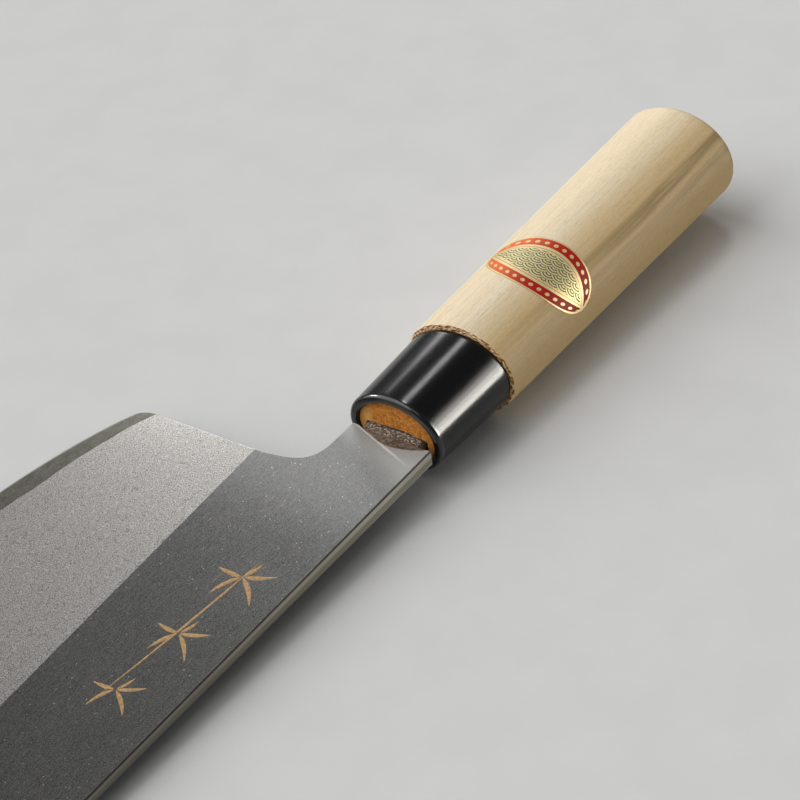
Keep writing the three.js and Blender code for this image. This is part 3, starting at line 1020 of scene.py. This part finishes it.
wood, finish_wood = new_finish("handle_wood")
place = x, y, z = knife_place(wood)
swirl = grain(place, (0.012, 0.05, 0.05), 2.0) - 0.5
layer = [x, y + 3.0 * swirl, z + 3.0 * swirl]
broad = grain(layer, (0.006, 0.16, 0.16), 2.0, 0.5)
lines = grain(layer, (0.011, 0.95, 0.95), 3.0, 0.6)
fibre = grain(layer, (0.05, 5.5, 5.5), 2.0, 0.6)
pores = grain(layer, (0.22, 7.5, 7.5), 1.0, 0.5, 17.0).ramp(0.66, 0.74)
hairline = grain(layer, (0.004, 2.4, 2.4), 1.0, 0.5, 43.0).ramp(0.66, 0.72)
flecks = grain(layer, (0.7, 5.0, 5.0), 2.0, 0.7, 31.0)
# The spine's side of the stick is darkened and warmed: partly heartwood tone, partly painted shade where the
# light falls away.
lean = (SHADED_SIDE[0] / WOOD_HALF[0]) * y + (SHADED_SIDE[1] / WOOD_HALF[1]) * z
turned = wood.sum("ARCTAN2", y / WOOD_HALF[0], z / WOOD_HALF[1]) * (180 / math.pi)
band = 0.0
for angle, wander, faint, full, share in STREAKS:
    band = band + share * abs(turned - angle + wander * swirl).ramp(faint, full)
heartwood = band * x.ramp(0, -118) * (0.35 + 0.65 * lines.ramp(0.35, 0.6))
wood_colour = paint(
    (248, 234, 206),
    (broad.ramp(0.3, 0.7), (241, 221, 184)),
    # painted shade on the spine's side, partly heartwood tone
    (lean.ramp(0.15, 0.95) * 0.75, (228, 188, 112)),
    (lines.ramp(0.48, 0.75) * 0.16 + hairline * 0.25, (200, 168, 112)),
    (fibre.ramp(0.4, 0.75) * 0.2 + flecks.ramp(0.45, 0.7) * 0.25, (186, 154, 104)),
    (pores * 0.35, (142, 114, 72)),
    (heartwood * 0.7, (140, 108, 58)),
)
print("wood along the stick uses", len(wood.tree.nodes), "nodes")

# %% Tenon end and slot
TENON_HALF = (10.5, 7.8)


def out_in_oval(y, z, half):
    """How far out a place lies in an oval section: 0 in its middle and 1 on its outline."""
    return ((y / half[0]) ** 2 + (z / half[1]) ** 2) ** 0.5


amber_grain = grain(place, (1.2, 2.2, 2.2), 4.0, 0.65)
amber = paint(
    (160, 96, 36),
    (amber_grain.ramp(0.3, 0.7), (222, 150, 68)),
    (grain(place, (0, 5, 5), 1.0, shift=6.0).ramp(0.6, 0.72) * 0.6, (130, 70, 24)),
    (grain(place, (0, 0.7, 0.9), 3.0, 0.6, 9.0).ramp(0.46, 0.66) * 0.6, (118, 68, 28)),
    (y.ramp(-5.5, -9.0) * 0.6, (240, 192, 108)),
    # painted shadow: the amber darkens towards the ferrule's wall, under its lip
    (out_in_oval(y, z, TENON_HALF).ramp(0.7, 1.0) * (0.3 + 0.4 * amber_grain), (116, 62, 22)),
    (x.ramp(-1.15, -2.2), (18, 13, 9)),
)
on_tenon = x.ramp(-25.2, -24.7)
print("with the tenon:", len(wood.tree.nodes), "nodes")

# %% Torn shoulder and wood together
SHOULDER_HALF = [size / 2 for size in HANDLE.front]
RIM_DEPTH = 13.0

way_round = turned * math.radians(sum(SHOULDER_HALF) / 2)
from_rim = (1 - out_in_oval(y, z, SHOULDER_HALF)) * RIM_DEPTH
strands = grain([way_round + 1.3 * from_rim, from_rim, z * 0], (0.85, 2.4, 0), 1.0, 0.5, 21.0)
fringe = facing(wood, to_toe).ramp(0.3, 0.7) * x.ramp(-24.5, -25.4)
wood_colour = paint(
    wood_colour,
    (on_tenon, amber),
    (fringe * 0.6, (240, 210, 160)),
    (fringe * strands.ramp(0.43, 0.56), (146, 84, 34)),
)
ridges = 0.6 * fibre + 0.8 * lines - 1.6 * pores + 3.0 * strands * fringe + 1.5 * amber_grain * on_tenon
finish_wood(handle, {
    "Base Color": wood_colour, "Roughness": 0.5 + 0.12 * fibre + 0.25 * x.ramp(-27, -26),
    "Specular IOR Level": 0.15, "Normal": bump(ridges, 0.3, 0.00006),
})

# %% [markdown]
# ## Ferrule finish
#
# The sleeve is polished black, so nearly everything seen on it is reflection. Fine hairlines from handling
# run mostly along it, and a faint unevenness in the moulding makes the long reflections waver. The rounded
# lip is the glossiest part, so a clear coat fades in there.

# %% Black sleeve
sleeve, finish_sleeve = new_finish("ferrule_black")
place = knife_place(sleeve)
hairs = grain(place, (0.25, 6.0, 6.0), 2.0, 0.7)
dust = grain(place, (3.0, 3.0, 3.0), 2.0, 0.7).ramp(0.68, 0.78)
waver = grain(place, (0.05, 0.2, 0.2), 1.0)
finish_sleeve(ferrule, {
    "Base Color": blend(dust * 0.25, (9, 9, 10), (50, 49, 48)),
    "Roughness": 0.17 + 0.1 * hairs.ramp(0.45, 0.8) + 0.15 * dust,
    "Coat Weight": 0.65 * place[0].ramp(-1.7, -0.7), "Coat Roughness": 0.05,
    "Specular IOR Level": 0.32, "Normal": bump(0.12 * hairs + 4.0 * waver, 0.25, 0.00004),
})

# %% [markdown]
# ## Label print
#
# The foil is pale gold with a red crescent on each side of a gold lens. The print here is a traditional one:
# overlapping waves inside the lens and a row of gold dots in each crescent. Walking round the handle gives
# flat label coordinates, so the print bends with the foil and needs no unwrapping.

# %% Label layout
LENS = Sizes(half=0.60, tip=0.95)

foil, finish_foil = new_finish("label_foil")
place = x, y, z = knife_place(foil)
half = [size / 2 for size in handle_size(x)]
across = (foil.sum("ARCTAN2", y / half[0], z / half[1]) - LABEL.turn) * LABEL.radius
along = x - LABEL.middle
u, v = across / (LABEL.around / 2), along / (LABEL.along / 2)
out = (u * u + v * v) ** 0.5
lens_edge = LENS.half * (1 - (u / LENS.tip) ** 2)
lens = lens_edge - abs(v)
in_red = lens.ramp(-0.045, -0.06) * out.ramp(0.958, 0.945)
red_line = lens.ramp(0.028, 0.036) * lens.ramp(0.066, 0.058) + (out - 0.975).ramp(0.0, 0.006) * 0.4
print("label layout uses", len(foil.tree.nodes), "nodes")

# %% Waves and dots
WAVE, DOT_STEP = 2.3, 2.2


def wave_row(row, p, q):
    """Distance from the wave centre of this row, in wave radii."""
    offset = foil.sum("FLOORED_MODULO", row, 2.0)
    sideways = foil.sum("FLOORED_MODULO", p + offset + 1.0, 2.0) - 1.0
    rise = q - row * 0.5
    return (sideways * sideways + rise * rise) ** 0.5


p, q = across / WAVE, along / WAVE + 40.0
row = foil.sum("FLOOR", q * 2.0)
near, far = wave_row(row - 1.0, p, q), wave_row(row, p, q)
chosen = foil.sum("LESS_THAN", near, 1.0)
reach = near * chosen + far * (1 - chosen)
arcs = abs(foil.sum("FLOORED_MODULO", reach * 3.0 + 0.5, 1.0) - 0.5).ramp(0.24, 0.16)
waves = arcs * lens.ramp(0.10, 0.13)
off_middle = abs(abs(v) - 0.5 * (lens_edge + abs(1 - u * u) ** 0.5)) * (LABEL.along / 2)
step_along = abs(foil.sum("FLOORED_MODULO", across / DOT_STEP, 1.0) - 0.5) * DOT_STEP
dots = ((off_middle**2 + step_along**2) ** 0.5).ramp(0.62, 0.46) * in_red
print("with waves and dots:", len(foil.tree.nodes), "nodes")

# %% Label together
speckle = grain(place, (4.0, 4.0, 4.0), 2.0, 0.6)
gold = blend(speckle.ramp(0.3, 0.7), (194, 182, 128), (218, 208, 160))
print_colour = paint(
    gold,
    (waves * 0.9, (38, 36, 28)),
    (red_line * 0.8, (196, 96, 60)),
    (in_red, blend(u.ramp(-0.8, 0.1), (238, 108, 20), (188, 26, 10))),
    (dots * 0.85, gold),
)
bare_foil = (1 - in_red * (1 - dots)) * (1 - waves)
finish_foil(label, {
    "Base Color": print_colour, "Metallic": 0.35 * bare_foil, "Roughness": 0.46 + 0.12 * speckle,
    "Specular IOR Level": 0.1, "Normal": bump(speckle, 0.12, 0.00003),
})

# %% [markdown]
# ## Gilding
#
# The leaves hold a dull gold paint that was wiped into a scratched ground, so it is patchy and darker where
# the scratches show through.

# %% Gilt finish
gilt, finish_gilt = new_finish("sprig_gilt")
place = knife_place(gilt)
worn = grain(place, (1.4, 1.4, 0), 3.0, 0.65)
fine = grain(place, (5.0, 5.0, 0), 2.0)
gilt_colour = paint(
    (152, 117, 70),
    (worn.ramp(0.35, 0.65), (186, 150, 98)),
    (fine.ramp(0.58, 0.7) * 0.35, (130, 98, 60)),
)
finish_gilt(sprig, {
    "Base Color": gilt_colour, "Metallic": 0.25, "Roughness": 0.48 + 0.15 * fine,
    "Normal": bump(fine, 0.4, 0.00002),
})

# %% [markdown]
# ## Table and light
#
# The table is plain, pale and quite matte, because a glossy top would mirror the lamps. The key is a broad
# sun beside the edge: a sun lights a table evenly and leaves no hot spot. Polished metal shows what it
# mirrors, so the other lamps are placed by reflection, and most of them show only in gloss: a box behind the
# edge for the bevel, a stack beyond the spine that fades upward for the ferrule's broad band, and a small one
# for the glint on its lip. A slim box draws the ferrule's thin line, and the ceiling fills the rest.

# %% Table
bpy.ops.mesh.primitive_grid_add(x_subdivisions=8, y_subdivisions=8, size=8.0, location=(0, 0, 0))
table = bpy.context.object
table.name = "table_top"
top, finish_top = new_finish("table_pale")
spot = top.node("TexCoord", out="Object")
mottle = top.node("TexNoise", (), {"Vector": spot, "Scale": 60.0, "Detail": 3.0})
finish_top(table, {
    "Base Color": blend(mottle.ramp(0.3, 0.7), (223, 223, 222), (226, 226, 225)),
    "Roughness": 0.75, "Specular IOR Level": 0.0,
})
table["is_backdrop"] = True

# %% Soft boxes
BLADE_AIM, SLEEVE_AIM = (60.0, -10.0, 0.0), (-13.0, 0.0, 0.0)
WHITE, WARM = (1, 1, 1), (1.0, 0.96, 0.89)
SPINE_STACK = [(0.10, 7.0), (0.26, 5.0), (0.42, 2.2), (0.56, 0.8)]


def hang(name, lamp, direction):
    """Hang a lamp that shines from a direction on the knife's axes."""
    holder = new_object(name, lamp)
    toward = (turn @ Vector(direction)).normalized()
    holder.rotation_euler = toward.to_track_quat("Z", "Y").to_euler()
    return holder, toward


def soft_box(name, direction, distance, size, strength, aim=BLADE_AIM, only_gloss=False, tint=WHITE):
    """An area lamp that shines on a point of the knife from a direction and a distance in metres."""
    lamp = bpy.data.lights.new(name, "AREA")
    lamp.shape, lamp.energy, lamp.color = "RECTANGLE", strength, tint
    lamp.size, lamp.size_y = size
    holder, toward = hang(name, lamp, direction)
    holder.location = knife_to_frame @ Vector(aim) + toward * distance
    holder.visible_diffuse = not only_gloss
    print(name, "at", [round(c, 2) for c in holder.location])


soft_box("box_behind_edge", (-0.78, -0.54, 0.28), 1.3, (0.5, 0.6), 6.5, only_gloss=True)
for step, (height, strength) in enumerate(SPINE_STACK):
    name = f"box_beyond_spine_{step}"
    soft_box(name, (-0.57, 0.78, height), 1.0, (0.5, 0.17), strength, SLEEVE_AIM, True, WARM)
soft_box("lip_glint", (0.25, -0.85, 0.45), 1.2, (0.24, 0.24), 7.0, SLEEVE_AIM, True, WARM)
soft_box("slim_box", (-0.58, -0.237, 0.779), 1.2, (0.12, 0.3), 1.2, SLEEVE_AIM)
soft_box("ceiling", (0.4, -0.05, 1.0), 1.7, (1.4, 1.4), 5.0)

# %% Key and room
KEY_STRENGTH, KEY_SPREAD = 2.4, math.radians(76)
ROOM_STRENGTH = 0.16

key = bpy.data.lights.new("key_beside_edge", "SUN")
key.energy, key.angle = KEY_STRENGTH, KEY_SPREAD
hang("key_beside_edge", key, (0.50, -0.62, 0.60))
room = bpy.data.worlds.new("room")
bpy.context.scene.world = room
room.use_nodes = True
room_light = room.node_tree.nodes["Background"].inputs
room_light["Color"].default_value = (1, 1, 1, 1)
room_light["Strength"].default_value = ROOM_STRENGTH
bpy.context.scene.view_settings.view_transform = "Standard"
print("key", KEY_STRENGTH, "and room", ROOM_STRENGTH)

# %% [markdown]
# ## Camera
#
# The camera stands at the photograph's angle, beyond the toe on the spine's side and high above the table. A
# long lens keeps the handle from shrinking much towards the butt. Its place is given on the knife's axes.

# %% Camera
CAMERA_AT = (352.091, 293.077, 375.015)
CAMERA_RIGHT = (-0.57066, 0.81529, -0.09821)
CAMERA_BACK = (0.60321, 0.49733, 0.62353)
SENSOR, FOCAL_LENGTH = 36.0, 117.08

camera = new_object("camera", bpy.data.cameras.new("camera"))
back = (turn @ Vector(CAMERA_BACK)).normalized()
up = back.cross(turn @ Vector(CAMERA_RIGHT)).normalized()
pose = Matrix((up.cross(back), up, back)).transposed().to_4x4()
pose.translation = knife_to_frame @ Vector(CAMERA_AT)
camera.matrix_world = pose
camera.data.sensor_width, camera.data.lens = SENSOR, FOCAL_LENGTH
camera.data.clip_start, camera.data.clip_end = 0.01, 50
bpy.context.scene.camera = camera
print("camera at", [round(c, 3) for c in camera.location])

# %% [markdown]
# ## Sizes
#
# The dressed knife has to keep the size of its solids, so both boxes are written down for comparison.

# %% Print both boxes
visual_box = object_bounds()
sizes = {"cad": [list(corner) for corner in cad_box], "visual": [list(corner) for corner in visual_box]}
for name, (low, high) in sizes.items():
    print(name, [round((b - a) / MM, 2) for a, b in zip(low, high)], "mm")
